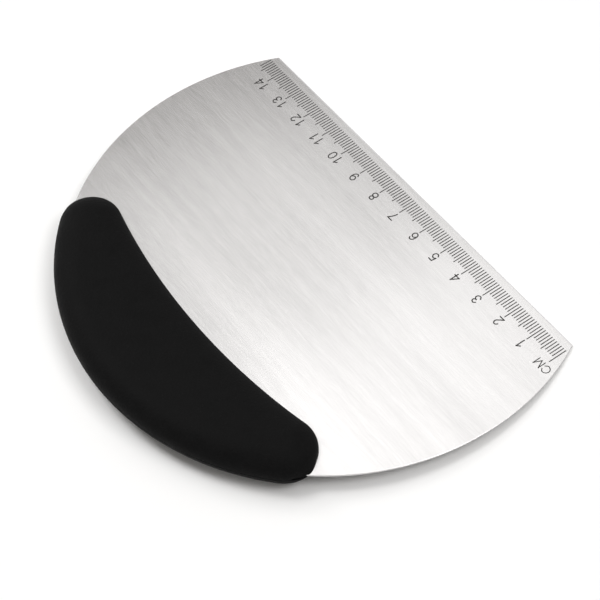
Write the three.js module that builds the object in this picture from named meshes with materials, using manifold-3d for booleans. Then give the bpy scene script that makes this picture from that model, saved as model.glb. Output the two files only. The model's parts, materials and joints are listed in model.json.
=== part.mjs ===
// Pastry scraper: a round stainless blade with one straight edge, held in a crescent handle.
// Millimetres, +Z up. It lies on a table, resting on its straight edge and on the handle.
import * as THREE from 'three';
import { mergeVertices } from 'three/addons/utils/BufferGeometryUtils.js';
import Module from 'manifold-3d';

const wasm = await Module();
wasm.setup();

// Blade: a disc cut off straight, with a small ground bevel along the straight edge
const BLADE_RADIUS = 80.8;
const EDGE_TO_CENTRE = 34.8;
const BLADE_THICKNESS = 0.7;
const EDGE_LAND = 0.4;
const EDGE_BEVEL = 0.4;
const BLADE_ARC_STEPS = 64;

// Handle in plan: it follows the disc outside, arches inside and has round ends
const HANDLE_OVERHANG = 2.5;
const HANDLE_INNER_MIDDLE = 83.4;
const HANDLE_INNER_RADIUS = 229;
const HANDLE_END_RADIUS = 9.9;

// Handle in section: a crowned form, fuller on its outer side
const HANDLE_THICKNESS = 13.2;
const CROWN_SHARE = 0.75;
const OUTER_FULLNESS = 2.15;
const INNER_FULLNESS = 2.42;

// Toe: a low corner of the round end that lies on the blade's rim, at an angle from +Y
const TOE_REACH = 1;
const TOE_ANGLE = 1.72;
const TOE_BEFORE = 0.52;
const TOE_AFTER = 0.42;
const TOE_LOWNESS = 4;

// Walls and clearances
const GRIP_WALL = 1.2;
const CORE_WALL = 1.5;
const PARTING_GAP = 0.2;
const BLADE_CLEARANCE = 0.15;
const SLOT_RELIEF = 0.25;
const SKIN_CLEARANCE = 0.15;

// Ribs and bosses inside the core, at shares of the crown line's half length
const RIB_THICKNESS = 1.2;
const RIB_LENGTH = 44;
const RIBS_PER_SIDE = 5;
const RIB_PITCH = 1 / 6;
const BOSS_RADIUS = 4.6;

// Rivets
const RIVET_PLACES = [-0.75, -0.25, 0.25, 0.75];
const SHANK_RADIUS = 1.9;
const RIVET_CLEARANCE = 0.15;
const RIVET_SEAT = 3.9;
const HEAD_RADIUS = 3.4;
const HEAD_HEIGHT = 0.8;
const TAIL_RADIUS = 3;
const TAIL_HEIGHT = 0.7;
const TAIL_BORE_RADIUS = 1.2;
const TAIL_BORE_DEPTH = 2.4;
const RIVET_SIDES = 16;

// Facets round the visible skin and round the hidden surfaces
const SKIN_FACETS = { arcSteps: 44, endSteps: 14, rings: 9 };
const HIDDEN_FACETS = { arcSteps: 24, endSteps: 7, rings: 4 };
const CUT_DEPTH = 1;
const WELD = 1e-4;

// Derived sizes
const HALF_BLADE = BLADE_THICKNESS / 2;
const HALF_HANDLE = HANDLE_THICKNESS / 2;
const PARTING_BASE = PARTING_GAP / 2;
const SLOT_TOP = HALF_BLADE + BLADE_CLEARANCE;
const CORE_INSET = GRIP_WALL + SKIN_CLEARANCE;
const CORE_TOP = HALF_HANDLE - CORE_INSET;
const COUNTERBORE_RADIUS = HEAD_RADIUS + RIVET_CLEARANCE;

// Turn a stack of rings into one closed surface; a ring may collapse to a line or a point
function loft(rings, firstCap, lastCap) {
  const count = rings[0].length;
  const index = [];
  for (let k = 0; k + 1 < rings.length; k += 1) {
    for (let i = 0; i < count; i += 1) {
      const a = k * count + i;
      const b = k * count + ((i + 1) % count);
      index.push(a, b, b + count, a, b + count, a + count);
    }
  }
  const top = (rings.length - 1) * count;
  firstCap.forEach(([a, b, c]) => index.push(a, c, b));
  lastCap.forEach(([a, b, c]) => index.push(top + a, top + b, top + c));
  const geometry = new THREE.BufferGeometry().setFromPoints(rings.flat());
  geometry.setIndex(index);
  const welded = mergeVertices(geometry, WELD);
  welded.setIndex(withoutCollapsed(Array.from(welded.index.array)));
  return welded;
}

// Drop triangles that two merged corners have reduced to a line
function withoutCollapsed(index) {
  const kept = [];
  for (let i = 0; i < index.length; i += 3) {
    const [a, b, c] = index.slice(i, i + 3);
    if (a !== b && b !== c && c !== a) {
      kept.push(a, b, c);
    }
  }
  return kept;
}

// Closed solid for joining and cutting
function solid(geometry) {
  const bare = geometry.clone();
  bare.deleteAttribute('normal');
  bare.deleteAttribute('uv');
  const welded = mergeVertices(bare, WELD);
  return new wasm.Manifold(new wasm.Mesh({
    numProp: 3,
    vertProperties: welded.attributes.position.array,
    triVerts: Uint32Array.from(welded.index.array),
  }));
}

// Back from a solid to a mesh geometry
function geometryOf(body) {
  const { vertProperties, triVerts } = body.getMesh();
  const geometry = new THREE.BufferGeometry();
  geometry.setAttribute('position', new THREE.BufferAttribute(vertProperties, 3));
  geometry.setIndex(new THREE.BufferAttribute(triVerts, 1));
  geometry.computeVertexNormals();
  return geometry;
}

// Upright cylinder between two heights
function post(x, y, radius, bottom, top, sides = RIVET_SIDES) {
  const geometry = new THREE.CylinderGeometry(radius, radius, top - bottom, sides);
  geometry.rotateX(Math.PI / 2);
  geometry.translate(x, y, (bottom + top) / 2);
  return solid(geometry);
}

// The arcs of the handle's plan share their end centres whatever the inset
const END_CENTRE = endCentre();
const CROWN_MIDDLE = HANDLE_INNER_MIDDLE
  + (EDGE_TO_CENTRE + BLADE_RADIUS + HANDLE_OVERHANG - HANDLE_INNER_MIDDLE) * CROWN_SHARE;
const CROWN_RISE = CROWN_MIDDLE - END_CENTRE.y;
const CROWN_RADIUS = (END_CENTRE.x ** 2 + CROWN_RISE ** 2) / (2 * CROWN_RISE);
const CROWN_HALF_ANGLE = Math.asin(END_CENTRE.x / CROWN_RADIUS);
const NO_TOE = new THREE.Vector2();

// Centre of the round end: it touches the outer arc from within and the inner arc from outside
function endCentre() {
  const fromOuter = BLADE_RADIUS + HANDLE_OVERHANG - HANDLE_END_RADIUS;
  const fromInner = HANDLE_INNER_RADIUS + HANDLE_END_RADIUS;
  const innerCentreY = HANDLE_INNER_MIDDLE - HANDLE_INNER_RADIUS;
  const apart = EDGE_TO_CENTRE - innerCentreY;
  const rise = (fromInner ** 2 - fromOuter ** 2 + apart ** 2) / (2 * apart);
  return new THREE.Vector2(Math.sqrt(fromInner ** 2 - rise ** 2), innerCentreY + rise);
}

// Point on an arc about (0, centreY), at an angle from +Y towards +X
function onArc(centreY, radius, angle) {
  return new THREE.Vector2(radius * Math.sin(angle), centreY + radius * Math.cos(angle));
}

// Point on the crown line, at a share of its half length from the middle
function onCrown(share) {
  return onArc(CROWN_MIDDLE - CROWN_RADIUS, CROWN_RADIUS, share * CROWN_HALF_ANGLE);
}

// Share of the toe's reach at an angle round the end
function toeShare(angle) {
  const past = Math.abs(angle) - TOE_ANGLE;
  return Math.max(0, 1 - (past < 0 ? -past / TOE_BEFORE : past / TOE_AFTER));
}

// Walk the crescent's rim; each step knows its rim point, crown point, fullness and toe
function crescentRim(inset, { arcSteps, endSteps }) {
  const outerRadius = BLADE_RADIUS + HANDLE_OVERHANG - inset;
  const innerRadius = HANDLE_INNER_RADIUS + inset;
  const endRadius = HANDLE_END_RADIUS - inset;
  const innerCentreY = HANDLE_INNER_MIDDLE - HANDLE_INNER_RADIUS;
  const outerHalf = Math.atan2(END_CENTRE.x, END_CENTRE.y - EDGE_TO_CENTRE);
  const innerHalf = Math.atan2(END_CENTRE.x, END_CENTRE.y - innerCentreY);
  const steps = [];
  const endArc = (side, from, to, fullFrom, fullTo) => {
    for (let i = 1; i < endSteps; i += 1) {
      const share = i / endSteps;
      const angle = from + (to - from) * share;
      const outward = new THREE.Vector2(Math.sin(angle), Math.cos(angle));
      const crown = new THREE.Vector2(side * END_CENTRE.x, END_CENTRE.y);
      steps.push({
        rim: crown.clone().addScaledVector(outward, endRadius),
        crown,
        fullness: fullFrom + (fullTo - fullFrom) * share,
        toe: outward.multiplyScalar(TOE_REACH * toeShare(angle)),
      });
    }
  };
  for (let i = 0; i <= arcSteps; i += 1) {
    const share = 1 - (2 * i) / arcSteps;
    const rim = onArc(EDGE_TO_CENTRE, outerRadius, share * outerHalf);
    steps.push({ rim, crown: onCrown(share), fullness: OUTER_FULLNESS, toe: NO_TOE });
  }
  endArc(-1, -outerHalf, -Math.PI - innerHalf, OUTER_FULLNESS, INNER_FULLNESS);
  for (let i = 0; i <= arcSteps; i += 1) {
    const share = (2 * i) / arcSteps - 1;
    const rim = onArc(innerCentreY, innerRadius, share * innerHalf);
    steps.push({ rim, crown: onCrown(share), fullness: INNER_FULLNESS, toe: NO_TOE });
  }
  endArc(1, Math.PI + innerHalf, outerHalf, INNER_FULLNESS, OUTER_FULLNESS);
  return steps;
}

// Crowned crescent standing on a flat base; it may have toes, or a straight skirt below it
function crownedCrescent({ inset, base, top, facets, toes = 0, skirt = 0 }) {
  const steps = crescentRim(inset, facets);
  const rings = [];
  if (skirt > 0) {
    rings.push(steps.map(({ rim }) => new THREE.Vector3(rim.x, rim.y, base - skirt)));
  }
  for (let k = 0; k <= facets.rings; k += 1) {
    const inward = 1 - Math.cos((k / facets.rings) * (Math.PI / 2));
    rings.push(steps.map(({ rim, crown, fullness, toe }) => {
      const rise = (1 - (1 - inward) ** fullness) ** (1 / fullness);
      const place = rim.clone().lerp(crown, inward);
      place.addScaledVector(toe, toes * (1 - rise) ** TOE_LOWNESS);
      return new THREE.Vector3(place.x, place.y, base + (top - base) * rise);
    }));
  }
  const baseRim = steps.map(({ rim, toe }) => rim.clone().addScaledVector(toe, toes));
  const baseFaces = THREE.ShapeUtils.triangulateShape(baseRim, []);
  return loft(rings, baseFaces, []);
}

// Space that the blade takes between the two halves of the handle
function bladeSlot() {
  return post(0, EDGE_TO_CENTRE, BLADE_RADIUS + SLOT_RELIEF, -SLOT_TOP, SLOT_TOP, 2 * BLADE_ARC_STEPS);
}

// Soft skin of one half: the handle's outer form, hollowed for the core and slotted for the blade
function gripHalf() {
  const form = crownedCrescent({
    inset: 0,
    base: PARTING_BASE,
    top: HALF_HANDLE,
    facets: SKIN_FACETS,
    toes: 1,
  });
  const hollow = crownedCrescent({
    inset: GRIP_WALL,
    base: PARTING_BASE,
    top: HALF_HANDLE - GRIP_WALL,
    facets: HIDDEN_FACETS,
    skirt: CUT_DEPTH,
  });
  return geometryOf(solid(form).subtract(solid(hollow)).subtract(bladeSlot()));
}

// Cross ribs and one long rib that stiffen the core
function coreRibs() {
  const outer = CROWN_RADIUS + RIB_THICKNESS / 2;
  const inner = CROWN_RADIUS - RIB_THICKNESS / 2;
  const centreY = CROWN_MIDDLE - CROWN_RADIUS;
  const band = new THREE.Shape();
  band.absarc(0, centreY, outer, Math.PI / 2 - CROWN_HALF_ANGLE, Math.PI / 2 + CROWN_HALF_ANGLE, false);
  band.absarc(0, centreY, inner, Math.PI / 2 + CROWN_HALF_ANGLE, Math.PI / 2 - CROWN_HALF_ANGLE, true);
  const long = new THREE.ExtrudeGeometry(band, {
    depth: HALF_HANDLE, bevelEnabled: false, curveSegments: HIDDEN_FACETS.arcSteps,
  });
  let ribs = solid(long);
  for (let k = -RIBS_PER_SIDE; k <= RIBS_PER_SIDE; k += 1) {
    const place = onCrown(k * RIB_PITCH);
    const rib = new THREE.BoxGeometry(RIB_THICKNESS, RIB_LENGTH, HALF_HANDLE);
    rib.rotateZ(-k * RIB_PITCH * CROWN_HALF_ANGLE);
    rib.translate(place.x, place.y, HALF_HANDLE / 2);
    ribs = ribs.add(solid(rib));
  }
  return ribs;
}

// Rigid half under the skin: a shell with ribs, and bosses counterbored for the rivets
function coreHalf() {
  const form = crownedCrescent({
    inset: CORE_INSET,
    base: PARTING_BASE,
    top: CORE_TOP,
    facets: HIDDEN_FACETS,
  });
  const pocket = crownedCrescent({
    inset: CORE_INSET + CORE_WALL,
    base: PARTING_BASE,
    top: CORE_TOP - CORE_WALL,
    facets: HIDDEN_FACETS,
    skirt: CUT_DEPTH,
  });
  let hollow = solid(pocket).subtract(coreRibs());
  let holes = bladeSlot();
  RIVET_PLACES.forEach((share) => {
    const { x, y } = onCrown(share);
    hollow = hollow.subtract(post(x, y, BOSS_RADIUS, -CUT_DEPTH, HALF_HANDLE));
    holes = holes.add(post(x, y, SHANK_RADIUS + RIVET_CLEARANCE, -CUT_DEPTH, HALF_HANDLE));
    holes = holes.add(post(x, y, COUNTERBORE_RADIUS, RIVET_SEAT, HALF_HANDLE));
  });
  return geometryOf(solid(form).subtract(hollow).subtract(holes));
}

// Blade: straight cross sections stacked from the ground edge to the crown of the disc
function bladeHalfWidth(y) {
  return Math.sqrt(Math.max(0, BLADE_RADIUS ** 2 - (y - EDGE_TO_CENTRE) ** 2));
}

function bladeSection(y, thickness) {
  const x = bladeHalfWidth(y);
  const z = thickness / 2;
  return [[x, z], [x, -z], [-x, -z], [-x, z]].map(([across, up]) => new THREE.Vector3(across, y, up));
}

function bladeGeometry() {
  const sections = [bladeSection(0, EDGE_LAND)];
  const start = Math.asin((EDGE_BEVEL - EDGE_TO_CENTRE) / BLADE_RADIUS);
  for (let i = 0; i <= BLADE_ARC_STEPS; i += 1) {
    const angle = start + (Math.PI / 2 - start) * (i / BLADE_ARC_STEPS);
    sections.push(bladeSection(EDGE_TO_CENTRE + BLADE_RADIUS * Math.sin(angle), BLADE_THICKNESS));
  }
  let plate = solid(loft(sections, [[0, 1, 2], [0, 2, 3]], []));
  RIVET_PLACES.forEach((share) => {
    const { x, y } = onCrown(share);
    plate = plate.subtract(post(x, y, SHANK_RADIUS + RIVET_CLEARANCE, -BLADE_THICKNESS, BLADE_THICKNESS));
  });
  return geometryOf(plate);
}

// Semi-tubular rivet: a low domed head above, a rolled tail with its bore below
function rivetGeometry() {
  const seat = RIVET_SEAT + RIVET_CLEARANCE;
  const tailEnd = -seat - TAIL_HEIGHT;
  const profile = [
    [0, tailEnd + TAIL_BORE_DEPTH],
    [TAIL_BORE_RADIUS, tailEnd + TAIL_BORE_DEPTH],
    [TAIL_BORE_RADIUS, tailEnd + TAIL_HEIGHT / 2],
    [(TAIL_BORE_RADIUS + TAIL_RADIUS) / 2, tailEnd],
    [TAIL_RADIUS, tailEnd + TAIL_HEIGHT / 2],
    [TAIL_RADIUS, -seat],
    [SHANK_RADIUS, -seat],
    [SHANK_RADIUS, seat],
    [HEAD_RADIUS, seat],
    [HEAD_RADIUS, seat + HEAD_HEIGHT / 3],
    [HEAD_RADIUS * 0.7, seat + HEAD_HEIGHT * 0.85],
    [0, seat + HEAD_HEIGHT],
  ].map(([r, z]) => new THREE.Vector2(r, z));
  const geometry = new THREE.LatheGeometry(profile, RIVET_SIDES);
  geometry.rotateX(Math.PI / 2);
  return geometry;
}

// Finishes
const steel = new THREE.MeshStandardMaterial({ color: 0xb9b6b2, metalness: 1, roughness: 0.35 });
const rivetSteel = new THREE.MeshStandardMaterial({ color: 0xa3a3a1, metalness: 1, roughness: 0.45 });
const corePlastic = new THREE.MeshStandardMaterial({ color: 0x1f1f20, metalness: 0, roughness: 0.6 });
const softGrip = new THREE.MeshStandardMaterial({ color: 0x161616, metalness: 0, roughness: 0.85 });

function piece(name, geometry, material) {
  const mesh = new THREE.Mesh(geometry, material);
  mesh.name = name;
  return mesh;
}

// Assembly in the blade's own frame: X along the edge, Y towards the handle, Z off its face
const scraper = new THREE.Group();
const grip = gripHalf();
const core = coreHalf();
const lowerGrip = piece('lower_grip', grip, softGrip);
const lowerCore = piece('lower_core', core, corePlastic);
lowerGrip.rotation.y = Math.PI;
lowerCore.rotation.y = Math.PI;
scraper.add(piece('blade', bladeGeometry(), steel));
scraper.add(piece('upper_core', core, corePlastic), lowerCore);
scraper.add(piece('upper_grip', grip, softGrip), lowerGrip);
RIVET_PLACES.forEach((share, i) => {
  const rivet = piece(`rivet_${i + 1}`, rivetGeometry(), rivetSteel);
  const { x, y } = onCrown(share);
  rivet.position.set(x, y, 0);
  scraper.add(rivet);
});

// Lying down, the edge's lower shoulder and the handle's lower skin touch the table together
function restTilt(skin) {
  const place = skin.attributes.position;
  let slope = 0;
  for (let i = 0; i < place.count; i += 1) {
    slope = Math.max(slope, (place.getZ(i) - HALF_BLADE) / (place.getY(i) - EDGE_BEVEL));
  }
  return Math.atan(slope);
}

// The origin lies on the table under the middle of the whole tool
const pastryScraper = new THREE.Group();
scraper.rotation.x = restTilt(grip);
pastryScraper.add(scraper);
pastryScraper.updateMatrixWorld(true);
const reach = new THREE.Box3().setFromObject(pastryScraper, true);
const middle = reach.getCenter(new THREE.Vector3());
scraper.position.set(-middle.x, -middle.y, -reach.min.z);

export default pastryScraper;
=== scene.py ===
"""Pastry scraper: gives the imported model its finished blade, scale and soft handle."""

import json
import math
from collections import namedtuple

import bmesh
import bpy
from bpy.props import FloatProperty, FloatVectorProperty, IntProperty, PointerProperty
from mathutils import Matrix, Quaternion, Vector


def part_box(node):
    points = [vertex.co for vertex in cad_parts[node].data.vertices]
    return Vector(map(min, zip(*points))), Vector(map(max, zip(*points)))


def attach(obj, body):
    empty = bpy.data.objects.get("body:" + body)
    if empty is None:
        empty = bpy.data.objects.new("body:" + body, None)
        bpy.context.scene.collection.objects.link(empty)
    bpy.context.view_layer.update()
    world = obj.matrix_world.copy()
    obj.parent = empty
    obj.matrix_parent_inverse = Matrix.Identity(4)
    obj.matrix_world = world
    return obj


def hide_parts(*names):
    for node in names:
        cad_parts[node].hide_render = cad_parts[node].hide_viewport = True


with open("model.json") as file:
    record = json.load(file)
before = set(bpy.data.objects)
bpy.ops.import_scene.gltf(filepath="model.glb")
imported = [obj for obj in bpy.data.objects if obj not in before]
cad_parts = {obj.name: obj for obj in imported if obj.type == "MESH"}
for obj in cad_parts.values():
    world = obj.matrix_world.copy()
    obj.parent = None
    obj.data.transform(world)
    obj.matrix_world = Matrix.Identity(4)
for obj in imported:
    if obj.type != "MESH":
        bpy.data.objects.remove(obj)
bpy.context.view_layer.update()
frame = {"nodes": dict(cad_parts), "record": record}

bl_info = {
    "name": "Pastry Scraper",
    "version": (1, 0, 0),
    "blender": (4, 5, 0),
    "location": "3D View > Sidebar > Scraper",
    "description": "Round steel pastry scraper with an engraved scale and a soft handle",
    "category": "Object",
}

# Values that every piece shares
BODY = "root"
MERGE_DISTANCE = 1e-7
UP = Vector((0, 0, 1))
TINY = 1e-6

# Facets of the finished pieces
BLADE_ARC_STEPS = 240
HOLE_SIDES = 48
HANDLE_ARC_STEPS = 132
HANDLE_END_STEPS = 44
HANDLE_RINGS = 30
EDGE_ROUND_STEPS = 2
STROKE_STEPS = 6
STROKE_ROUND_STEPS = 1

# Angles past which two faces count as meeting in an edge
SHEET_CREASE = math.radians(18)
SKIN_CREASE = math.radians(35)
CUT_EDGE = math.radians(40)

# Rivets along the crown line, as shares of half its length, and the depth of the tool that
# cuts their holes, in thicknesses of the sheet
RIVET_SHARES = (-0.75, -0.25, 0.25, 0.75)
CUTTER_DEPTH = 4

# Scale: its divisions, the ticks in each centimetre, and a stroke's height over its width
MILLIMETRE = 0.001
CENTIMETRE = 0.01
TICKS_EACH = 10
FLATNESS = 0.06

# Past the disc's rim, where the skin comes down from the blade to the parting line
SLOT_FADE = (0.0014, 0.0021)

# Toe of each end: its angle, its spread to both sides and how fast it dies away upwards
FORWARD = Vector((0, 1, 0))
TOE_ANGLE = 1.72
TOE_BEFORE = 0.52
TOE_AFTER = 0.42
TOE_LOWNESS = 4

# Brushing: the UV map whose U runs across the lines, then each layer with its waves per metre
# along and across the lines and its detail, and the layers' weights in the blade's tone
BRUSH_MAP = "across the brush lines"
BRUSH_LAYERS = (
    ("Line", 170.0, 2900.0, 2.0),
    ("Band", 18.0, 440.0, 2.0),
    ("Patch", 8.0, 120.0, 3.0),
)
BRUSH_WEIGHTS = (("Line", 0.4), ("Band", 0.05), ("Patch", 0.5))
BRUSH_ROUGHNESS = 0.6
BRUSH_CONTRAST = (0.25, 0.75)

# Moulded grain: detail of the grain and the cloud, depth of the pits and gain of the tone
GRAIN_DETAIL = 2.0
CLOUD_DETAIL = 4.0
PIT_DEPTH = 0.6
TONE_GAIN = 3.2

# Each finish: darkest and lightest share of its colour, lowest and highest roughness, bump
# strength and height, and the values that stay the same all over
Finish = namedtuple("Finish", "tint roughness bump values")
BRUSHED_STEEL = Finish(
    (0.84, 1.16), (0.22, 0.26), (0.03, 0.00002), {"Metallic": 1.0, "Anisotropic": 0.7})
ENGRAVED_SCALE = Finish((0.75, 2.1), (0.5, 0.72), None, {"Specular IOR Level": 0.25})
SOFT_SKIN = Finish((0.3, 2.0), (0.46, 0.7), (0.7, 0.00012), {"Specular IOR Level": 0.066})
CORE_PLASTIC = Finish((0.7, 1.4), (0.42, 0.58), (0.2, 0.00008), {})
DRAWN_STEEL = Finish((0.82, 1.08), (0.34, 0.52), (0.15, 0.00004), {"Metallic": 1.0})
WHITE_TABLE = Finish((0.995, 1.005), None, None, {"Specular IOR Level": 0.0, "Roughness": 1.0})

# Moulded pattern in waves per metre, and the scale of the brush lines on each steel piece
SKIN_PATTERN = {"Grain": 1500.0, "Cloud": 160.0}
CORE_PATTERN = {"Grain": 1500.0, "Cloud": 60.0}
BLADE_BRUSH = {"Scale": 1.0}
MARK_BRUSH = {"Scale": 1.8}
RIVET_BRUSH = {"Scale": 0.9}
TABLE_CLOUD = 9.0

# Distances from the tool over which the table turns to plain white
WHITE_FROM = 0.105
WHITE_BY = 0.18

# Table and backdrop: flat reach, radius of the sweep, height of the wall and facets
BACKDROP_REACH = 2.6
BACKDROP_SWEEP = 0.8
BACKDROP_WALL = 1.2
BACKDROP_STEPS = 8
BACKDROP_SIDES = 48

# Soft lights: name, place, size and brightness. The photograph's view shows the two panels
# in the blade.
SOFT_LIGHTS = (
    ("overhead", (-0.05, -0.2, 1.0), (0.6, 0.8), 1.0),
    ("near side", (-0.6, -0.28, 1.0), (0.5, 0.5), 6.2),
    ("front", (0.45, 0.24, 1.0), (0.4, 0.32), 10.8),
    ("far side", (1.1, 0.25, 1.0), (0.6, 0.6), 4.8),
    ("panel", (0.42, -0.5, 1.0), (0.32, 0.6), 1.28),
    ("far panel", (0.72, -0.5, 1.0), (0.28, 0.6), 0.74),
)
ROOM_TINT = (1.0, 0.97, 0.93)
SENSOR_WIDTH = 36.0

# Grid on which the nodes of a material are laid out
NODE_COLUMN = 260
NODE_ROW = 300


# Sizes and colours that can be changed
class ScraperShape(bpy.types.PropertyGroup):
    """Sizes of the blade and the handle"""

    blade_radius: FloatProperty(
        name="Blade radius", description="Radius of the steel disc",
        default=0.0808, unit="LENGTH", precision=5)
    edge_to_centre: FloatProperty(
        name="Edge to centre", description="From the straight edge to the disc's centre",
        default=0.0348, unit="LENGTH", precision=5)
    blade_thickness: FloatProperty(
        name="Blade thickness", description="Thickness of the steel sheet",
        default=0.0007, unit="LENGTH", precision=5)
    edge_land: FloatProperty(
        name="Edge land", description="Thickness left at the ground straight edge",
        default=0.0004, unit="LENGTH", precision=5)
    edge_bevel: FloatProperty(
        name="Edge bevel", description="Width of the grind along the straight edge",
        default=0.0004, unit="LENGTH", precision=5)
    edge_round: FloatProperty(
        name="Edge round", description="Rounding of the sheet's cut edges",
        default=0.00006, unit="LENGTH", precision=5)
    handle_overhang: FloatProperty(
        name="Handle overhang", description="How far the handle stands out past the disc",
        default=0.0025, unit="LENGTH", precision=5)
    inner_middle: FloatProperty(
        name="Inner middle", description="From the straight edge to the handle's inner side",
        default=0.0834, unit="LENGTH", precision=5)
    inner_radius: FloatProperty(
        name="Inner radius", description="Radius of the handle's inner arch",
        default=0.229, unit="LENGTH", precision=5)
    end_radius: FloatProperty(
        name="End radius", description="Radius of the handle's round ends",
        default=0.0099, unit="LENGTH", precision=5)
    handle_thickness: FloatProperty(
        name="Handle thickness", description="Handle from its upper crown to its lower crown",
        default=0.0132, unit="LENGTH", precision=5)
    crown_share: FloatProperty(
        name="Crown share", description="Place of the crown between the inner and outer sides",
        default=0.75, subtype="FACTOR", min=0.3, max=0.8)
    outer_fullness: FloatProperty(
        name="Outer fullness", description="How square the outer flank is; 2 is an ellipse",
        default=2.15, min=1.5, max=5.0)
    inner_fullness: FloatProperty(
        name="Inner fullness", description="How square the inner flank is; 2 is an ellipse",
        default=2.42, min=1.5, max=5.0)
    skin_wall: FloatProperty(
        name="Skin wall", description="Wall of the soft skin",
        default=0.0012, unit="LENGTH", precision=5)
    parting_gap: FloatProperty(
        name="Parting gap", description="Gap between the two halves of the handle",
        default=0.0002, unit="LENGTH", precision=5)
    blade_clearance: FloatProperty(
        name="Blade clearance", description="Gap between the blade and the skin",
        default=0.00015, unit="LENGTH", precision=5)
    toe_reach: FloatProperty(
        name="Toe reach", description="How far the low corner of each end runs along the rim",
        default=0.001, unit="LENGTH", precision=5)
    hole_radius: FloatProperty(
        name="Hole radius", description="Radius of the rivet holes in the blade",
        default=0.00205, unit="LENGTH", precision=5)


class ScraperScale(bpy.types.PropertyGroup):
    """Sizes of the scale on the blade"""

    zero: FloatProperty(
        name="Zero", description="Place of the scale's zero along the straight edge",
        default=-0.07329, unit="LENGTH", precision=5)
    centimetres: IntProperty(
        name="Centimetres", description="Last centimetre with a numeral",
        default=14, min=1, max=14)
    spare_ticks: IntProperty(
        name="Spare ticks", description="Millimetre ticks after the last numeral",
        default=7, min=0, max=9)
    tick_start: FloatProperty(
        name="Tick start", description="From the straight edge to the ticks",
        default=0.00285, unit="LENGTH", precision=5)
    tick_width: FloatProperty(
        name="Tick width", description="Width of a tick",
        default=0.00032, unit="LENGTH", precision=5)
    short_tick: FloatProperty(
        name="Short tick", description="Length of a millimetre tick",
        default=0.0045, unit="LENGTH", precision=5)
    middle_tick: FloatProperty(
        name="Middle tick", description="Length of a half centimetre tick",
        default=0.00545, unit="LENGTH", precision=5)
    long_tick: FloatProperty(
        name="Long tick", description="Length of a centimetre tick",
        default=0.0065, unit="LENGTH", precision=5)
    numeral_base: FloatProperty(
        name="Numeral base", description="From the straight edge to the foot of the numerals",
        default=0.00992, unit="LENGTH", precision=5)
    numeral_height: FloatProperty(
        name="Numeral height", description="Height of the numerals",
        default=0.0035, unit="LENGTH", precision=5)
    numeral_stroke: FloatProperty(
        name="Numeral stroke", description="Width of the numerals' strokes",
        default=0.00042, unit="LENGTH", precision=5)
    unit_base: FloatProperty(
        name="Unit base", description="From the straight edge to the foot of the unit mark",
        default=0.01035, unit="LENGTH", precision=5)
    unit_height: FloatProperty(
        name="Unit height", description="Height of the unit mark",
        default=0.003, unit="LENGTH", precision=5)
    unit_stroke: FloatProperty(
        name="Unit stroke", description="Width of the unit mark's strokes",
        default=0.00032, unit="LENGTH", precision=5)
    mark_depth: FloatProperty(
        name="Mark depth", description="How far the marks stand off the sheet",
        default=0.000015, unit="LENGTH", precision=6)


class ScraperFinish(bpy.types.PropertyGroup):
    """Colours of the finishes"""

    steel: FloatVectorProperty(
        name="Blade steel", description="Colour of the brushed blade",
        default=(0.695, 0.687, 0.686), size=3, subtype="COLOR", min=0, max=1)
    mark: FloatVectorProperty(
        name="Scale", description="Colour of the engraved scale",
        default=(0.045, 0.043, 0.042), size=3, subtype="COLOR", min=0, max=1)
    grip: FloatVectorProperty(
        name="Soft grip", description="Colour of the soft skin",
        default=(0.0022, 0.0022, 0.00225), size=3, subtype="COLOR", min=0, max=1)
    core: FloatVectorProperty(
        name="Core plastic", description="Colour of the rigid core",
        default=(0.012, 0.012, 0.0125), size=3, subtype="COLOR", min=0, max=1)
    rivet: FloatVectorProperty(
        name="Rivet steel", description="Colour of the rivets",
        default=(0.52, 0.52, 0.51), size=3, subtype="COLOR", min=0, max=1)
    floor: FloatVectorProperty(
        name="Floor", description="Colour of the table",
        default=(0.96, 0.96, 0.96), size=3, subtype="COLOR", min=0, max=1)


class ScraperStage(bpy.types.PropertyGroup):
    """Light level and camera"""

    light_level: FloatProperty(
        name="Light level", description="Brightness of all the soft lights together",
        default=1.0, min=0)
    room_level: FloatProperty(
        name="Room level", description="Brightness of the room around the soft lights",
        default=0.3, min=0)
    camera_place: FloatVectorProperty(
        name="Camera place", description="Where the camera stands",
        default=(-0.269795, 0.135864, 0.440816), size=3, subtype="TRANSLATION")
    camera_aim: FloatVectorProperty(
        name="Camera aim", description="The point on the table at the picture's middle",
        default=(-0.008849, -0.007093, 0.0), size=3, subtype="TRANSLATION")
    camera_roll: FloatProperty(
        name="Camera roll", description="Turn of the camera about its axis",
        default=math.radians(-9.2172), subtype="ANGLE")
    camera_lens: FloatProperty(
        name="Lens", description="Focal length on a 36 mm sensor",
        default=105.95, unit="CAMERA")


# Plan of the tool in the blade's own frame
def blade_frame(shape):
    """Blade's frame in the part's frame: X along the edge, Y to the handle, Z off the face."""
    normal = Vector(frame["record"]["mounts"][0]["axis"])
    tilt = math.atan2(-normal.y, normal.z)
    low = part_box("blade")[0]
    half_sheet = shape.blade_thickness / 2
    half_land = shape.edge_land / 2
    origin = Vector((
        0,
        low.y + half_land * math.sin(tilt),
        low.z + half_sheet * math.cos(tilt) - shape.edge_bevel * math.sin(tilt),
    ))
    return Matrix.Translation(origin) @ Matrix.Rotation(tilt, 4, "X")


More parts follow.
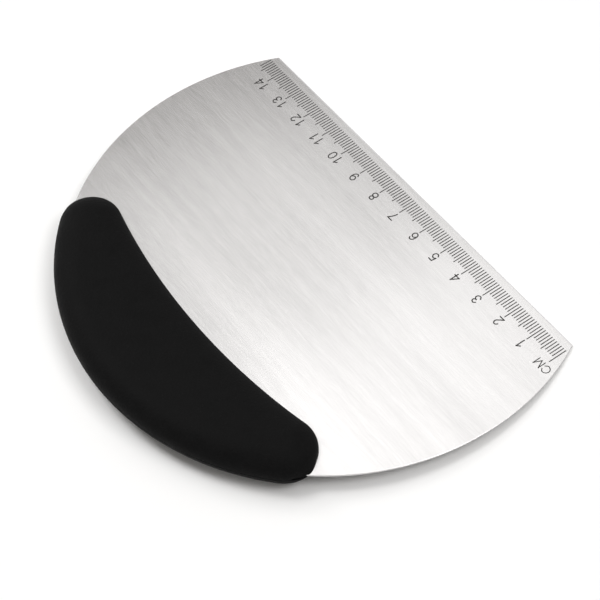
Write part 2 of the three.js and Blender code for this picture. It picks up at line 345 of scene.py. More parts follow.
class HandlePlan:
    """Arcs of the crescent: its outer side, inner side, round ends and crown line"""

    def __init__(self, shape):
        self.outer_centre = Vector((0, shape.edge_to_centre, 0))
        self.outer_radius = shape.blade_radius + shape.handle_overhang
        self.inner_centre = Vector((0, shape.inner_middle - shape.inner_radius, 0))
        self.inner_radius = shape.inner_radius
        from_outer = self.outer_radius - shape.end_radius
        from_inner = shape.inner_radius + shape.end_radius
        apart = self.outer_centre.y - self.inner_centre.y
        rise = (from_inner**2 - from_outer**2 + apart**2) / (2 * apart)
        reach = math.sqrt(from_inner**2 - rise**2)
        self.end = Vector((reach, self.inner_centre.y + rise, 0))
        self.outer_half = math.atan2(self.end.x, self.end.y - self.outer_centre.y)
        self.inner_half = math.atan2(self.end.x, self.end.y - self.inner_centre.y)
        outer_middle = self.outer_centre.y + self.outer_radius
        depth = outer_middle - shape.inner_middle
        self.crown_middle = shape.inner_middle + depth * shape.crown_share
        crown_rise = self.crown_middle - self.end.y
        self.crown_radius = (self.end.x**2 + crown_rise**2) / (2 * crown_rise)
        self.crown_half = math.asin(self.end.x / self.crown_radius)

    def crown(self, share):
        """Point on the crown line, at a share of its half length from the middle."""
        angle = share * self.crown_half
        return Vector((
            self.crown_radius * math.sin(angle),
            self.crown_middle - self.crown_radius * (1 - math.cos(angle)),
            0,
        ))


# Node building
def add_node(tree, kind, cell, **settings):
    """A node with its settings, in a column and row of the node grid."""
    node = tree.nodes.new(kind)
    column, row = cell
    node.location = (column * NODE_COLUMN, -row * NODE_ROW)
    for key, value in settings.items():
        setattr(node, key, value)
    return node


def new_material(name, finish):
    """A node material with its output and its shader, which has the finish's own values."""
    material = bpy.data.materials.new(name)
    material.use_nodes = True
    tree = material.node_tree
    tree.nodes.clear()
    output = add_node(tree, "ShaderNodeOutputMaterial", (2, 0))
    shader = add_node(tree, "ShaderNodeBsdfPrincipled", (0, 0))
    for socket, value in finish.values.items():
        shader.inputs[socket].default_value = value
    tree.links.new(shader.outputs["BSDF"], output.inputs["Surface"])
    return material, tree, shader


def math_node(tree, operation, cell, *values):
    """A Math node fed by numbers or sockets."""
    node = add_node(tree, "ShaderNodeMath", cell, operation=operation)
    for socket, value in zip(node.inputs, values):
        if isinstance(value, (int, float)):
            socket.default_value = value
        else:
            tree.links.new(value, socket)
    return node.outputs[0]


def shade(tree, shader, colour, value, limits):
    """Make the shader's colour darker or lighter by a value."""
    node = add_node(tree, "ShaderNodeMix", (-1, -1), data_type="RGBA")
    for socket, share in zip("AB", limits):
        node.inputs[socket].default_value = (*(min(1, part * share) for part in colour), 1)
    tree.links.new(value, node.inputs["Factor"])
    tree.links.new(node.outputs["Result"], shader.inputs["Base Color"])


def roughen(tree, shader, value, limits):
    """Spread the shader's roughness between two limits by a value."""
    node = add_node(tree, "ShaderNodeMapRange", (-1, 0))
    node.inputs["To Min"].default_value, node.inputs["To Max"].default_value = limits
    tree.links.new(value, node.inputs["Value"])
    tree.links.new(node.outputs["Result"], shader.inputs["Roughness"])


def bump(tree, shader, height, strength, distance):
    """Bump the shader's surface by a height."""
    node = add_node(tree, "ShaderNodeBump", (-1, 1))
    node.inputs["Strength"].default_value = strength
    node.inputs["Distance"].default_value = distance
    tree.links.new(height, node.inputs["Height"])
    tree.links.new(node.outputs["Normal"], shader.inputs["Normal"])


def new_group(name, inputs, outputs):
    """A shader node group with named sockets."""
    group = bpy.data.node_groups.new(name, "ShaderNodeTree")
    for label, kind in inputs:
        group.interface.new_socket(label, in_out="INPUT", socket_type=kind)
    for label in outputs:
        group.interface.new_socket(label, in_out="OUTPUT", socket_type="NodeSocketFloat")
    source = add_node(group, "NodeGroupInput", (-3, 0))
    sink = add_node(group, "NodeGroupOutput", (2, 0))
    return group, source, sink


def brush_lines_group():
    """Fine brush lines along X, with broader bands and long cloudy patches between them."""
    name = "brush lines"
    if name in bpy.data.node_groups:
        return bpy.data.node_groups[name]
    group, source, sink = new_group(
        name,
        [("Place", "NodeSocketVector"), ("Scale", "NodeSocketFloat")],
        [layer[0] for layer in BRUSH_LAYERS],
    )
    for row, (output, along, across, detail) in enumerate(BRUSH_LAYERS):
        stretch = add_node(group, "ShaderNodeMapping", (-2, row))
        stretch.inputs["Scale"].default_value = (along, across, across)
        group.links.new(source.outputs["Place"], stretch.inputs["Vector"])
        noise = add_node(group, "ShaderNodeTexNoise", (-1, row))
        noise.inputs["Detail"].default_value = detail
        noise.inputs["Roughness"].default_value = BRUSH_ROUGHNESS
        group.links.new(stretch.outputs["Vector"], noise.inputs["Vector"])
        group.links.new(source.outputs["Scale"], noise.inputs["Scale"])
        level = add_node(group, "ShaderNodeMapRange", (0, row))
        low, high = BRUSH_CONTRAST
        level.inputs["From Min"].default_value = low
        level.inputs["From Max"].default_value = high
        group.links.new(noise.outputs["Fac"], level.inputs["Value"])
        group.links.new(level.outputs["Result"], sink.inputs[output])
    return group


def moulded_grain_group():
    """Fine spark grain of a mould, with slow cloudy changes."""
    name = "moulded grain"
    if name in bpy.data.node_groups:
        return bpy.data.node_groups[name]
    group, source, sink = new_group(
        name,
        [
            ("Place", "NodeSocketVector"),
            ("Grain", "NodeSocketFloat"),
            ("Cloud", "NodeSocketFloat"),
        ],
        ["Height", "Tone"],
    )
    grain = add_node(group, "ShaderNodeTexNoise", (-2, 0))
    grain.inputs["Detail"].default_value = GRAIN_DETAIL
    pores = add_node(group, "ShaderNodeTexVoronoi", (-2, 1), feature="SMOOTH_F1")
    cloud = add_node(group, "ShaderNodeTexNoise", (-2, 2))
    cloud.inputs["Detail"].default_value = CLOUD_DETAIL
    for node, size in ((grain, "Grain"), (pores, "Grain"), (cloud, "Cloud")):
        group.links.new(source.outputs["Place"], node.inputs["Vector"])
        group.links.new(source.outputs[size], node.inputs["Scale"])
    pits = math_node(group, "MULTIPLY", (-1, 1), pores.outputs["Distance"], PIT_DEPTH)
    height = math_node(group, "ADD", (0, 0), grain.outputs["Fac"], pits)
    mixed = math_node(group, "MULTIPLY", (0, 1), cloud.outputs["Fac"], grain.outputs["Fac"])
    tone = math_node(group, "MULTIPLY", (1, 1), mixed, TONE_GAIN)
    group.links.new(height, sink.inputs["Height"])
    group.links.new(tone, sink.inputs["Tone"])
    return group


def placed_group(tree, group, values):
    """The outputs of a group on Object coordinates, with its own values."""
    place = add_node(tree, "ShaderNodeTexCoord", (-6, 0))
    node = add_node(tree, "ShaderNodeGroup", (-5, 0), node_tree=group)
    tree.links.new(place.outputs["Object"], node.inputs["Place"])
    for key, value in values.items():
        node.inputs[key].default_value = value
    return node.outputs


# Finishes
def brushed_steel(colour):
    """Bright sheet brushed along the straight edge."""
    material, tree, shader = new_material("brushed steel", BRUSHED_STEEL)
    lines = placed_group(tree, brush_lines_group(), BLADE_BRUSH)
    fine, broad, cloud = [
        math_node(tree, "MULTIPLY", (-4, row), lines[layer], weight)
        for row, (layer, weight) in enumerate(BRUSH_WEIGHTS)]
    both = math_node(tree, "ADD", (-3, 0), fine, broad)
    tone = math_node(tree, "ADD", (-2, 0), both, cloud)
    shade(tree, shader, colour, tone, BRUSHED_STEEL.tint)
    roughen(tree, shader, lines["Line"], BRUSHED_STEEL.roughness)
    bump(tree, shader, lines["Line"], *BRUSHED_STEEL.bump)
    across = add_node(tree, "ShaderNodeTangent", (-1, 2), direction_type="UV_MAP")
    across.uv_map = BRUSH_MAP
    tree.links.new(across.outputs["Tangent"], shader.inputs["Tangent"])
    return material


def engraved_scale(colour):
    """Dark matt engraving, with the brush lines faintly in it."""
    material, tree, shader = new_material("engraved scale", ENGRAVED_SCALE)
    lines = placed_group(tree, brush_lines_group(), MARK_BRUSH)
    both = math_node(tree, "MULTIPLY", (-3, 0), lines["Line"], lines["Band"])
    shade(tree, shader, colour, both, ENGRAVED_SCALE.tint)
    roughen(tree, shader, lines["Band"], ENGRAVED_SCALE.roughness)
    return material


def moulded(name, finish, pattern, colour):
    """Moulded rubber or plastic with a fine grain."""
    material, tree, shader = new_material(name, finish)
    grain = placed_group(tree, moulded_grain_group(), pattern)
    shade(tree, shader, colour, grain["Tone"], finish.tint)
    roughen(tree, shader, grain["Tone"], finish.roughness)
    bump(tree, shader, grain["Height"], *finish.bump)
    return material


def drawn_steel(colour):
    """Plain drawn steel of the rivets."""
    material, tree, shader = new_material("drawn steel", DRAWN_STEEL)
    lines = placed_group(tree, brush_lines_group(), RIVET_BRUSH)
    shade(tree, shader, colour, lines["Band"], DRAWN_STEEL.tint)
    roughen(tree, shader, lines["Line"], DRAWN_STEEL.roughness)
    bump(tree, shader, lines["Line"], *DRAWN_STEEL.bump)
    return material


def white_table(colour):
    """Plain pale table and backdrop: it takes the shadow near the tool and is white far off."""
    material, tree, shader = new_material("white table", WHITE_TABLE)
    material.cycles.emission_sampling = "NONE"
    place = add_node(tree, "ShaderNodeTexCoord", (-4, 0))
    cloud = add_node(tree, "ShaderNodeTexNoise", (-3, 0))
    cloud.inputs["Scale"].default_value = TABLE_CLOUD
    tree.links.new(place.outputs["Object"], cloud.inputs["Vector"])
    shade(tree, shader, colour, cloud.outputs["Fac"], WHITE_TABLE.tint)
    away = add_node(tree, "ShaderNodeVectorMath", (-3, 1), operation="LENGTH")
    tree.links.new(place.outputs["Object"], away.inputs[0])
    far = add_node(tree, "ShaderNodeMapRange", (-2, 1), interpolation_type="SMOOTHSTEP")
    far.inputs["From Min"].default_value = WHITE_FROM
    far.inputs["From Max"].default_value = WHITE_BY
    tree.links.new(away.outputs["Value"], far.inputs["Value"])
    path = add_node(tree, "ShaderNodeLightPath", (-4, 2))
    rays = [path.outputs[f"Is {kind} Ray"] for kind in ("Camera", "Glossy", "Transmission")]
    seen = math_node(tree, "MAXIMUM", (-3, 2), rays[0], rays[1])
    seen = math_node(tree, "MAXIMUM", (-2, 2), seen, rays[2])
    share = math_node(tree, "MULTIPLY", (-1, 2), seen, far.outputs["Result"])
    white = add_node(tree, "ShaderNodeEmission", (0, 3))
    mixed = add_node(tree, "ShaderNodeMixShader", (1, 0))
    tree.links.new(share, mixed.inputs[0])
    tree.links.new(shader.outputs["BSDF"], mixed.inputs[1])
    tree.links.new(white.outputs["Emission"], mixed.inputs[2])
    tree.links.new(mixed.outputs[0], tree.nodes["Material Output"].inputs["Surface"])
    return material


# Pieces
def finished_piece(name, bm, material, node=None, crease=SHEET_CREASE):
    """Keep a bmesh as a piece that rides with the tool and may replace a CAD node."""
    mesh = bpy.data.meshes.new(name)
    bm.to_mesh(mesh)
    bm.free()
    mesh.materials.append(material)
    mesh.shade_smooth()
    mesh.set_sharp_from_angle(angle=crease)
    piece = bpy.data.objects.new(name, mesh)
    bpy.context.scene.collection.objects.link(piece)
    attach(piece, BODY)
    if node:
        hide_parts(node)


def sharp_edges(bm, angle):
    """Edges where two faces meet at more than an angle."""
    return [e for e in bm.edges if len(e.link_faces) == 2 and e.calc_face_angle() > angle]


def round_edges(bm, edges, offset, segments):
    """Round some edges."""
    bmesh.ops.bevel(
        bm, geom=edges, offset=offset, offset_type="OFFSET", affect="EDGES",
        segments=segments, profile=0.5, material=-1, clamp_overlap=True)


def spun_arc(bm, start, centre, angle, steps):
    """Spin a vertex round a centre and give the vertices of the arc after it."""
    known = set(bm.verts)
    bmesh.ops.spin(
        bm, geom=[start], cent=centre, axis=UP, angle=angle, steps=steps,
        use_merge=False, use_normal_flip=False, use_duplicate=False)
    turned = [v for v in bm.verts if v not in known]
    sign = 1 if angle > 0 else -1
    first = (start.co - centre).xy

    def sweep(vertex):
        here = (vertex.co - centre).xy
        turn = sign * math.atan2(first.cross(here), first.dot(here))
        return turn if turn > -TINY else turn + 2 * math.pi

    return sorted(turned, key=sweep)


def blade_sheet(shape):
    """Round sheet with a ground straight edge, in the blade's own frame."""
    bm = bmesh.new()
    centre = Vector((0, shape.edge_to_centre, 0))
    half_chord = math.sqrt(shape.blade_radius**2 - shape.edge_to_centre**2)
    drop = math.atan2(shape.edge_to_centre, half_chord)
    start = bm.verts.new((half_chord, 0, -shape.blade_thickness / 2))
    arc = spun_arc(bm, start, centre + start.co.z * UP, math.pi + 2 * drop, BLADE_ARC_STEPS)
    bm.edges.new((arc[-1], start))
    bmesh.ops.contextual_create(bm, geom=bm.edges[:])
    raised = bmesh.ops.extrude_face_region(bm, geom=bm.faces[:])["geom"]
    lifted = [v for v in raised if isinstance(v, bmesh.types.BMVert)]
    bmesh.ops.translate(bm, verts=lifted, vec=shape.blade_thickness * UP)
    bmesh.ops.bisect_plane(
        bm, geom=bm.verts[:] + bm.edges[:] + bm.faces[:], dist=MERGE_DISTANCE,
        plane_co=(0, shape.edge_bevel, 0), plane_no=(0, 1, 0))
    ground = [v for v in bm.verts if abs(v.co.y) < TINY]
    bmesh.ops.scale(bm, verts=ground, vec=(1, 1, shape.edge_land / shape.blade_thickness))
    bmesh.ops.recalc_face_normals(bm, faces=bm.faces[:])
    round_edges(bm, sharp_edges(bm, CUT_EDGE), shape.edge_round, EDGE_ROUND_STEPS)
    return bm


def pierced(bm, shape, plan):
    """Cut the rivet holes through the sheet."""
    cutters = bmesh.new()
    for share in RIVET_SHARES:
        bmesh.ops.create_cone(
            cutters, cap_ends=True, segments=HOLE_SIDES, radius1=shape.hole_radius,
            radius2=shape.hole_radius, depth=CUTTER_DEPTH * shape.blade_thickness,
            matrix=Matrix.Translation(plan.crown(share)))
    holders = []
    for name, source in (("sheet", bm), ("holes", cutters)):
        mesh = bpy.data.meshes.new(name)
        source.to_mesh(mesh)
        source.free()
        holder = bpy.data.objects.new(name, mesh)
        bpy.context.scene.collection.objects.link(holder)
        holders.append(holder)
    sheet, holes = holders
    cut = sheet.modifiers.new("holes", "BOOLEAN")
    cut.operation = "DIFFERENCE"
    cut.solver = "EXACT"
    cut.object = holes
    graph = bpy.context.evaluated_depsgraph_get()
    result = bmesh.new()
    result.from_object(sheet, graph)
    for holder in holders:
        mesh = holder.data
        bpy.data.objects.remove(holder)
        bpy.data.meshes.remove(mesh)
    return result


def brush_map(bm, shape):
    """Give the sheet its own UV map, turned so that U runs across the brush lines."""
    layer = bm.loops.layers.uv.new(BRUSH_MAP)
    for face in bm.faces:
        for loop in face.loops:
            loop[layer].uv = loop.vert.co.yx / (2 * shape.blade_radius)


# Digits and letters as strokes in a unit box: ink's start, ink's width and cell's width as
# shares of the height, then each stroke as closed or open and its knots
GLYPHS = {
    "0": (0.06, 0.61, 0.73, [(True, ((0.5, 1), (0, 0.5), (0.5, 0), (1, 0.5)))]),
    "1": (0.1, 0.36, 0.73, [(False, ((0.02, 0.74), (1, 1))), (False, ((1, 0.98), (1, 0)))]),
    "2": (0.06, 0.61, 0.73, [
        (False, ((0.04, 0.72), (0.5, 1), (0.95, 0.73), (0.6, 0.37), (0, 0.02))),
        (False, ((0, 0), (1, 0)))]),
    "3": (0.06, 0.61, 0.73, [
        (False, ((0.05, 0.77), (0.48, 1), (0.91, 0.77), (0.64, 0.56), (0.36, 0.545))),
        (False, ((0.36, 0.545), (0.7, 0.52), (1, 0.28), (0.48, 0), (0, 0.25)))]),
    "4": (0.03, 0.67, 0.73, [
        (False, ((0.74, 1), (0, 0.27))), (False, ((0, 0.27), (1, 0.27))),
        (False, ((0.74, 1), (0.74, 0)))]),
    "5": (0.06, 0.61, 0.73, [
        (False, ((0.92, 1), (0.2, 1))), (False, ((0.2, 1), (0.07, 0.49))),
        (False, ((0.07, 0.49), (0.5, 0.64), (1, 0.31), (0.48, 0), (0, 0.24)))]),
    "6": (0.06, 0.61, 0.73, [(False, (
        (0.94, 0.78), (0.54, 1), (0, 0.45), (0.52, 0), (1, 0.31), (0.54, 0.6), (0.04, 0.36)))]),
    "7": (0.06, 0.61, 0.73, [
        (False, ((0, 1), (1, 1))), (False, ((1, 1), (0.56, 0.5), (0.36, 0)))]),
    "8": (0.06, 0.61, 0.73, [
        (True, ((0.5, 1), (0.1, 0.77), (0.5, 0.55), (0.9, 0.77))),
        (True, ((0.5, 0.55), (0, 0.27), (0.5, 0), (1, 0.27)))]),
    "9": (0.06, 0.61, 0.73, [(False, (
        (0.06, 0.22), (0.46, 0), (1, 0.55), (0.48, 1), (0, 0.69), (0.46, 0.4), (0.96, 0.64)))]),
    "C": (0.0, 0.9, 1.0, [(False, ((0.96, 0.71), (0.54, 1), (0, 0.5), (0.54, 0), (1, 0.32)))]),
    "M": (0.0, 0.88, 0.88, [
        (False, ((0, 0), (0, 1))), (False, ((0, 1), (0.5, 0.05))),
        (False, ((0.5, 0.05), (1, 1))), (False, ((1, 1), (1, 0)))]),
}


def add_strokes(bm, text, middle, base, height, stroke, lift):
    """Draw text with flat strokes on the sheet, centred on a place along the edge."""
    curve = bpy.data.curves.new("strokes", "CURVE")
    curve.dimensions = "3D"
    curve.bevel_depth = stroke / 2
    curve.bevel_resolution = STROKE_ROUND_STEPS
    curve.resolution_u = STROKE_STEPS
    curve.use_fill_caps = True
    inset = stroke / height / 2
    left = -sum(GLYPHS[letter][2] for letter in text) / 2
    for letter in text:
        start, width, cell, strokes = GLYPHS[letter]
        corner = Vector((left + start + inset, inset, 0))
        wide, high = width - 2 * inset, 1 - 2 * inset
        for closed, points in strokes:
            knots = [corner + Vector((x * wide, y * high, 0)) for x, y in points]
            if len(knots) == 2:
                reach = inset * (knots[1] - knots[0]).normalized()
                knots = [knots[0] - reach, knots[1] + reach]
            spline = curve.splines.new("BEZIER")
            spline.bezier_points.add(len(knots) - 1)
            spline.use_cyclic_u = closed
            for knot, place in zip(spline.bezier_points, knots):
                knot.co = Vector((middle, base, 0)) + height * place
                knot.handle_left_type = knot.handle_right_type = "AUTO"
        left += cell
    holder = bpy.data.objects.new("strokes", curve)
    bpy.context.scene.collection.objects.link(holder)
    graph = bpy.context.evaluated_depsgraph_get()
    mesh = bpy.data.meshes.new_from_object(holder.evaluated_get(graph))
    bpy.data.objects.remove(holder)
    bpy.data.curves.remove(curve)
    mesh.transform(Matrix.Translation((0, 0, lift)) @ Matrix.Diagonal((1, 1, FLATNESS, 1)))
    bm.from_mesh(mesh)
    bpy.data.meshes.remove(mesh)


def scale_marks(shape, scale):
    """Ticks, numerals and unit mark as thin plates on the upper face."""
    bm = bmesh.new()
    face = shape.blade_thickness / 2
    lengths = {0: scale.long_tick, TICKS_EACH // 2: scale.middle_tick}
    for k in range(TICKS_EACH * scale.centimetres + scale.spare_ticks + 1):
        length = lengths.get(k % TICKS_EACH, scale.short_tick)
        middle = Vector((scale.zero + k * MILLIMETRE, scale.tick_start + length / 2, face))
        size = Matrix.Diagonal((scale.tick_width, length, 1, 1))
        bmesh.ops.create_grid(
            bm, x_segments=1, y_segments=1, size=0.5, matrix=Matrix.Translation(middle) @ size)
    raised = bmesh.ops.extrude_face_region(bm, geom=bm.faces[:])["geom"]
    lifted = [v for v in raised if isinstance(v, bmesh.types.BMVert)]
    bmesh.ops.translate(bm, verts=lifted, vec=scale.mark_depth * UP)
    for k in range(1, scale.centimetres + 1):
        add_strokes(
            bm, str(k), scale.zero + k * CENTIMETRE, scale.numeral_base,
            scale.numeral_height, scale.numeral_stroke, face)
    add_strokes(
        bm, "CM", scale.zero, scale.unit_base, scale.unit_height, scale.unit_stroke, face)
    bmesh.ops.remove_doubles(bm, verts=bm.verts[:], dist=MERGE_DISTANCE)
    bmesh.ops.recalc_face_normals(bm, faces=bm.faces[:])
    return bm


def toe_share(angle):
    """Share of the toe's reach at an angle round the end, measured from the handle's side."""
    past = angle - TOE_ANGLE
    return max(0, 1 - (-past / TOE_BEFORE if past < 0 else past / TOE_AFTER))


def eased(share):
    """A share kept between 0 and 1, with a gentle start and end."""
    share = min(1, max(0, share))
    return share * share * (3 - 2 * share)


def handle_rim(shape, plan):
    """Rim of one half of the handle, with notes on each vertex for its way up to the crown."""
    bm = bmesh.new()
    rim = bm.verts.layers.float_vector.new("rim")
    share = bm.verts.layers.float.new("share")
    fullness = bm.verts.layers.float.new("fullness")
    toe = bm.verts.layers.float_vector.new("toe")
    outer, inner = shape.outer_fullness, shape.inner_fullness
    left_end = Vector((-plan.end.x, plan.end.y, 0))
    end_turn = math.pi + plan.inner_half - plan.outer_half

    # Walk the rim by four spins
    right = plan.outer_centre + plan.outer_radius * Vector(
        (math.sin(plan.outer_half), math.cos(plan.outer_half), 0))
    start = bm.verts.new(right)
    arcs = (
        (plan.outer_centre, 2 * plan.outer_half, HANDLE_ARC_STEPS, (1, -1), (outer, outer)),
        (left_end, end_turn, HANDLE_END_STEPS, (-1, -1), (outer, inner)),
        (plan.inner_centre, -2 * plan.inner_half, HANDLE_ARC_STEPS, (-1, 1), (inner, inner)),
        (plan.end, end_turn, HANDLE_END_STEPS, (1, 1), (inner, outer)),
    )
    start[share], start[fullness] = 1, outer
    here = start
    for centre, angle, steps, shares, fulls in arcs:
        arc = spun_arc(bm, here, centre, angle, steps)
        for i, vertex in enumerate(arc, 1):
            vertex[share] = shares[0] + (shares[1] - shares[0]) * i / steps
            vertex[fullness] = fulls[0] + (fulls[1] - fulls[0]) * i / steps
            if steps == HANDLE_END_STEPS:
                outward = (vertex.co - centre).normalized()
                vertex[toe] = outward * shape.toe_reach * toe_share(outward.angle(FORWARD))
        here = arc[-1]
    bmesh.ops.remove_doubles(bm, verts=bm.verts[:], dist=TINY)

    # Lift it off the blade, bring it down to the parting line past the disc, and add the toes
    parting = shape.parting_gap / 2
    slot = shape.blade_thickness / 2 + shape.blade_clearance
    near, far = SLOT_FADE
    for vertex in bm.verts:
        past = (vertex.co - plan.outer_centre).length - shape.blade_radius
        vertex.co.z = parting + (slot - parting) * eased((far - past) / (far - near))
        vertex[rim] = vertex.co
        vertex.co += vertex[toe]
    return bm


def half_skin(shape, plan):
    """Soft skin of one half of the handle, crown up, in the blade's own frame."""
    bm = handle_rim(shape, plan)
    vectors, numbers = bm.verts.layers.float_vector, bm.verts.layers.float
    rim, toe = vectors["rim"], vectors["toe"]
    share, fullness = numbers["share"], numbers["fullness"]

    # Extrude the rim ring by ring up to the crown line
    top = shape.handle_thickness / 2
    edges = bm.edges[:]
    for k in range(1, HANDLE_RINGS + 1):
        inward = 1 - math.cos(k / HANDLE_RINGS * math.pi / 2)
        made = bmesh.ops.extrude_edge_only(bm, edges=edges)["geom"]
        edges = [e for e in made if isinstance(e, bmesh.types.BMEdge)]
        for vertex in (v for v in made if isinstance(v, bmesh.types.BMVert)):
            full = vertex[fullness]
            rise = (1 - (1 - inward) ** full) ** (1 / full)
            foot = vertex[rim]
            crown = plan.crown(vertex[share])
            place = foot.lerp(crown, inward) + vertex[toe] * (1 - rise) ** TOE_LOWNESS
            place.z = foot.z + (top - foot.z) * rise
            vertex.co = place
    bmesh.ops.remove_doubles(bm, verts=bm.verts[:], dist=TINY)
    bmesh.ops.recalc_face_normals(bm, faces=bm.faces[:])
    if sum(f.normal.z for f in bm.faces) < 0:
        bmesh.ops.reverse_faces(bm, faces=bm.faces[:])
    bmesh.ops.solidify(bm, geom=bm.faces[:], thickness=shape.skin_wall)
    return bm


# Operators
class SCRAPER_OT_blade(bpy.types.Operator):
    """Make the round steel sheet with its ground straight edge"""

    bl_idname = "scraper.blade"
    bl_label = "Blade"

    def execute(self, context):
        scene = context.scene
        shape = scene.scraper_shape
        plan = HandlePlan(shape)
        bm = pierced(blade_sheet(shape), shape, plan)
        brush_map(bm, shape)
        bmesh.ops.transform(bm, matrix=blade_frame(shape), verts=bm.verts[:])
        steel = brushed_steel(scene.scraper_finish.steel)
        finished_piece("blade_sheet", bm, steel, "blade")
        return {"FINISHED"}


class SCRAPER_OT_scale(bpy.types.Operator):
    """Engrave the centimetre scale along the straight edge"""

    bl_idname = "scraper.scale"
    bl_label = "Scale"

    def execute(self, context):
        scene = context.scene
        shape = scene.scraper_shape
        bm = scale_marks(shape, scene.scraper_scale)
        bmesh.ops.transform(bm, matrix=blade_frame(shape), verts=bm.verts[:])
        mark = engraved_scale(scene.scraper_finish.mark)
        finished_piece("scale_marks", bm, mark)
        return {"FINISHED"}


class SCRAPER_OT_skins(bpy.types.Operator):
    """Make the two soft skins of the crescent handle"""

    bl_idname = "scraper.skins"
    bl_label = "Soft skins"

    def execute(self, context):
        scene = context.scene
        shape = scene.scraper_shape
        plan = HandlePlan(shape)
        skin = moulded("soft skin", SOFT_SKIN, SKIN_PATTERN, scene.scraper_finish.grip)
        for name, turn in (("upper", 0.0), ("lower", math.pi)):
            bm = half_skin(shape, plan)
            turned = blade_frame(shape) @ Matrix.Rotation(turn, 4, "Y")
            bmesh.ops.transform(bm, matrix=turned, verts=bm.verts[:])
            finished_piece(
                f"{name}_skin", bm, skin, f"{name}_grip", SKIN_CREASE)
        return {"FINISHED"}


class SCRAPER_OT_inside(bpy.types.Operator):
    """Give the cores and the rivets inside the handle their finishes"""

    bl_idname = "scraper.inside"
    bl_label = "Cores and rivets"

    def execute(self, context):
        finish = context.scene.scraper_finish
        plastic = moulded("core plastic", CORE_PLASTIC, CORE_PATTERN, finish.core)
        steel = drawn_steel(finish.rivet)
        for name, node in frame["nodes"].items():
            material = plastic if name.endswith("_core") else steel
            if name.endswith("_core") or name.startswith("rivet_"):
                node.data.materials.clear()
                node.data.materials.append(material)
        return {"FINISHED"}


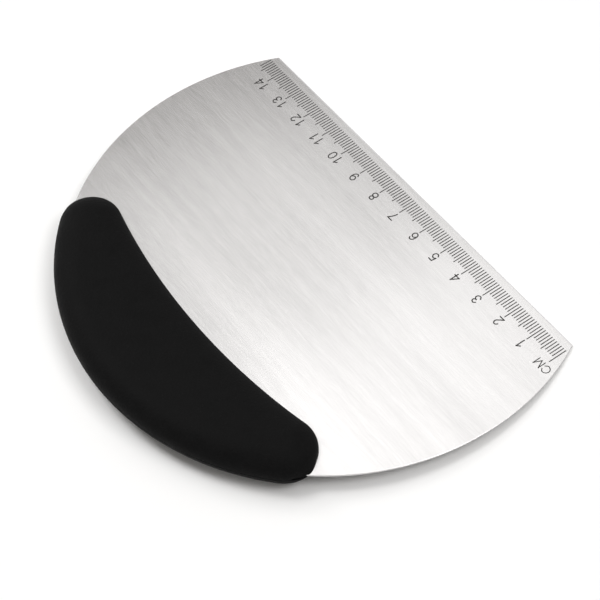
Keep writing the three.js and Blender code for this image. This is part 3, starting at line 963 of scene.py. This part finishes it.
class SCRAPER_OT_stage(bpy.types.Operator):
    """Set the table, the soft light and the camera"""

    bl_idname = "scraper.stage"
    bl_label = "Stage"

    def execute(self, context):
        scene = context.scene
        stage = scene.scraper_stage
        scene.view_settings.view_transform = "Standard"
        self.table(scene, scene.scraper_finish.floor)
        for name, place, size, level in SOFT_LIGHTS:
            self.softbox(scene, name, place, size, level * stage.light_level)
        self.room(scene, stage.room_level)
        self.camera(scene, stage)
        return {"FINISHED"}

    def table(self, scene, colour):
        """A wide pale table that sweeps up to a round backdrop."""
        bm = bmesh.new()
        hub = bm.verts.new((0, 0, 0))
        foot = bm.verts.new((BACKDROP_REACH, 0, 0))
        base = bm.edges.new((hub, foot))
        sweep = bmesh.ops.spin(
            bm, geom=[foot], cent=(BACKDROP_REACH, 0, BACKDROP_SWEEP), axis=(0, -1, 0),
            angle=math.pi / 2, steps=BACKDROP_STEPS)["geom_last"]
        top = [v for v in sweep if isinstance(v, bmesh.types.BMVert)]
        wall = bmesh.ops.extrude_vert_indiv(bm, verts=top)["verts"]
        bmesh.ops.translate(bm, verts=wall, vec=BACKDROP_WALL * UP)
        bmesh.ops.subdivide_edges(bm, edges=[base], cuts=BACKDROP_STEPS)
        bmesh.ops.spin(
            bm, geom=bm.verts[:] + bm.edges[:], cent=(0, 0, 0), axis=UP,
            angle=2 * math.pi, steps=BACKDROP_SIDES, use_merge=True)
        bmesh.ops.remove_doubles(bm, verts=bm.verts[:], dist=TINY)
        bmesh.ops.recalc_face_normals(bm, faces=bm.faces[:])
        mesh = bpy.data.meshes.new("table")
        bm.to_mesh(mesh)
        bm.free()
        if mesh.polygons[0].normal.z < 0:
            mesh.flip_normals()
        mesh.shade_smooth()
        mesh.materials.append(white_table(colour))
        table = bpy.data.objects.new("table", mesh)
        scene.collection.objects.link(table)

    def softbox(self, scene, name, place, size, level):
        """A soft light that faces straight down."""
        lamp = bpy.data.lights.new(name, "AREA")
        lamp.shape = "RECTANGLE"
        lamp.size, lamp.size_y = size
        lamp.energy = level * math.pi * lamp.size * lamp.size_y
        softbox = bpy.data.objects.new(name, lamp)
        softbox.location = place
        scene.collection.objects.link(softbox)

    def room(self, scene, level):
        """A dim, slightly warm room."""
        world = bpy.data.worlds.new("room")
        world.use_nodes = True
        background = world.node_tree.nodes["Background"]
        background.inputs["Color"].default_value = (*ROOM_TINT, 1)
        background.inputs["Strength"].default_value = level
        scene.world = world

    def camera(self, scene, stage):
        """The photograph's viewpoint."""
        data = bpy.data.cameras.new("camera")
        data.sensor_width = SENSOR_WIDTH
        data.lens = stage.camera_lens
        camera = bpy.data.objects.new("camera", data)
        place, aim = Vector(stage.camera_place), Vector(stage.camera_aim)
        look = (aim - place).to_track_quat("-Z", "Y")
        camera.location = place
        camera.rotation_mode = "QUATERNION"
        camera.rotation_quaternion = look @ Quaternion((0, 0, 1), stage.camera_roll)
        scene.collection.objects.link(camera)
        scene.camera = camera


# Panel and registration
class SCRAPER_PT_panel(bpy.types.Panel):
    """Lists the steps that make the scraper"""

    bl_idname = "SCRAPER_PT_panel"
    bl_label = "Pastry Scraper"
    bl_space_type = "VIEW_3D"
    bl_region_type = "UI"
    bl_category = "Scraper"

    def draw(self, context):
        layout = self.layout
        for step in STEPS:
            layout.operator(step.bl_idname)
        for group in GROUPS:
            box = layout.box()
            owner = getattr(context.scene, group)
            for name in owner.bl_rna.properties.keys():
                if name not in ("rna_type", "name"):
                    box.prop(owner, name)


STEPS = (
    SCRAPER_OT_blade,
    SCRAPER_OT_scale,
    SCRAPER_OT_skins,
    SCRAPER_OT_inside,
    SCRAPER_OT_stage,
)
GROUPS = {
    "scraper_shape": ScraperShape,
    "scraper_scale": ScraperScale,
    "scraper_finish": ScraperFinish,
    "scraper_stage": ScraperStage,
}
CLASSES = (*GROUPS.values(), *STEPS, SCRAPER_PT_panel)


def register():
    """Register the classes and give the scene their settings."""
    for cls in CLASSES:
        bpy.utils.register_class(cls)
    for name, cls in GROUPS.items():
        setattr(bpy.types.Scene, name, PointerProperty(type=cls))


def unregister():
    """Take the settings and the classes away again."""
    for name in GROUPS:
        delattr(bpy.types.Scene, name)
    for cls in reversed(CLASSES):
        bpy.utils.unregister_class(cls)


def main():
    """Make the scraper and its stage."""
    register()
    bpy.ops.scraper.blade()
    bpy.ops.scraper.scale()
    bpy.ops.scraper.skins()
    bpy.ops.scraper.inside()
    bpy.ops.scraper.stage()


if __name__ == "__main__":
    main()
